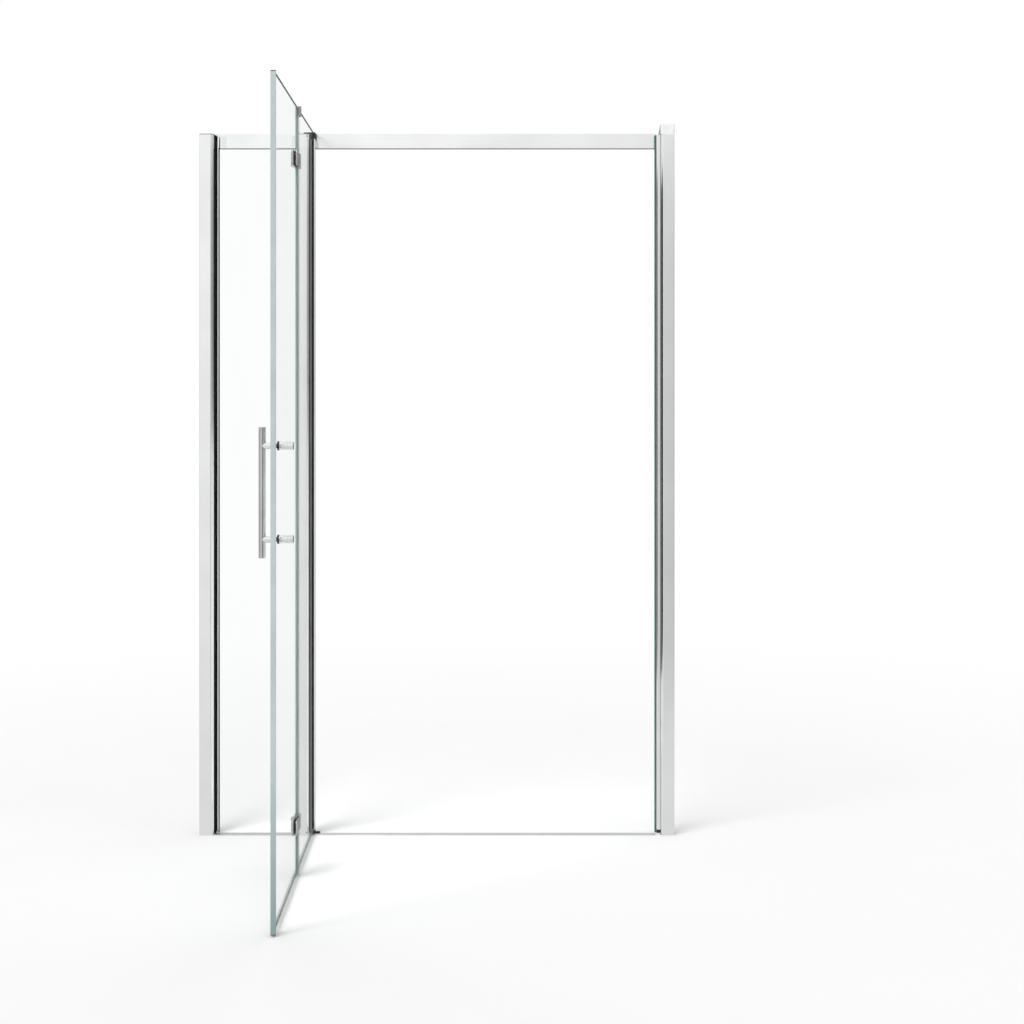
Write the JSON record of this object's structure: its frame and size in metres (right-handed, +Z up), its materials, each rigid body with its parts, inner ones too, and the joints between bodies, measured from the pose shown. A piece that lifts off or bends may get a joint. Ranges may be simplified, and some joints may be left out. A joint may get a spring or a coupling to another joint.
{
  "type": "folding shower door",
  "caption": "Folding shower door of two hinged clear glass leaves beside a narrow fixed glass pane, with bright upright profiles, a top rail, a low threshold and a long bar handle.",
  "frame": {"origin": "underside of the threshold, in the middle of the opening's width, in the middle plane of the closed glass", "axes": "+Z up along the uprights, +X along the opening from the fixed pane towards the strike side, +Y into the shower"},
  "size_m": [1.32, 0.975, 1.976],
  "materials": {
    "aluminium": "bright anodised, satin",
    "raw_aluminium": "plain extruded, dull",
    "chrome": "polished",
    "steel": "plain",
    "glass": "clear, smooth, green at the edges",
    "clear_seal": "clear flexible plastic",
    "white_plastic": "smooth",
    "grey_plastic": "fine satin",
    "black_rubber": "matte",
    "dark_plastic": "fine satin"
  },
  "bodies": {
    "frame": {"wall_channel_left": "raw_aluminium", "wall_channel_right": "raw_aluminium", "pane_profile": "aluminium", "frame_profile_right": "aluminium", "strike_profile": "aluminium", "strike_seal": "clear_seal", "profile_cap_left": "grey_plastic", "profile_cap_right": "chrome", "profile_lock_screws": "steel", "top_rail": "aluminium", "rail_strip": "black_rubber", "rail_brackets": "aluminium", "rail_screws": "steel", "pane_rail_pads": "clear_seal", "threshold_bar": "aluminium", "threshold_end_cap": "dark_plastic", "threshold_strike_end": "white_plastic", "strike_foot": "dark_plastic", "pane_base_bar": "aluminium", "pane_base_gasket": "clear_seal", "hinge_post": "aluminium", "post_top_cap": "grey_plastic", "post_lip_seal": "black_rubber", "fixed_pane": "glass", "pane_front_gasket": "black_rubber", "pane_rear_gasket": "black_rubber", "post_gasket": "black_rubber", "upper_pivot_block": "dark_plastic", "lower_pivot_block": "dark_plastic", "upper_pivot_bush": "white_plastic", "lower_pivot_bush": "white_plastic", "pivot_block_screws": "steel"},
    "inner_leaf": {"inner_leaf_glass": "glass", "pivot_rail": "aluminium", "pivot_rail_gasket": "black_rubber", "upper_pivot_pin": "steel", "lower_pivot_pin": "steel", "inner_leaf_drip_seal": "clear_seal", "joint_seal": "clear_seal", "joint_seal_cap": "grey_plastic", "inner_leaf_upper_knuckle": "chrome", "inner_leaf_lower_knuckle": "chrome", "inner_leaf_back_plates": "chrome", "inner_leaf_hinge_pads": "black_rubber", "inner_leaf_hinge_screws": "steel"},
    "outer_leaf": {"outer_leaf_glass": "glass", "closing_seal": "clear_seal", "closing_seal_caps": "dark_plastic", "outer_leaf_drip_seal": "clear_seal", "outer_leaf_upper_knuckle": "chrome", "outer_leaf_lower_knuckle": "chrome", "outer_leaf_back_plates": "chrome", "outer_leaf_hinge_pads": "black_rubber", "outer_leaf_hinge_screws": "steel", "fold_pins": "steel", "handle_bar": "chrome", "handle_standoffs": "chrome", "handle_collars": "dark_plastic", "handle_knobs": "chrome", "handle_studs": "steel"}
  },
  "joints": [
    {"name": "door_swing", "type": "hinge", "parent": "frame", "child": "inner_leaf", "pos_m": [-0.348, 0, 1], "axis": [0, 0, 1], "range_deg": [-3.7, 86.3]},
    {"name": "leaf_fold", "type": "hinge", "parent": "inner_leaf", "child": "outer_leaf", "pos_m": [-0.32907, -0.44771, 1], "axis": [0, 0, -1], "range_deg": [0, 145]}
  ]
}
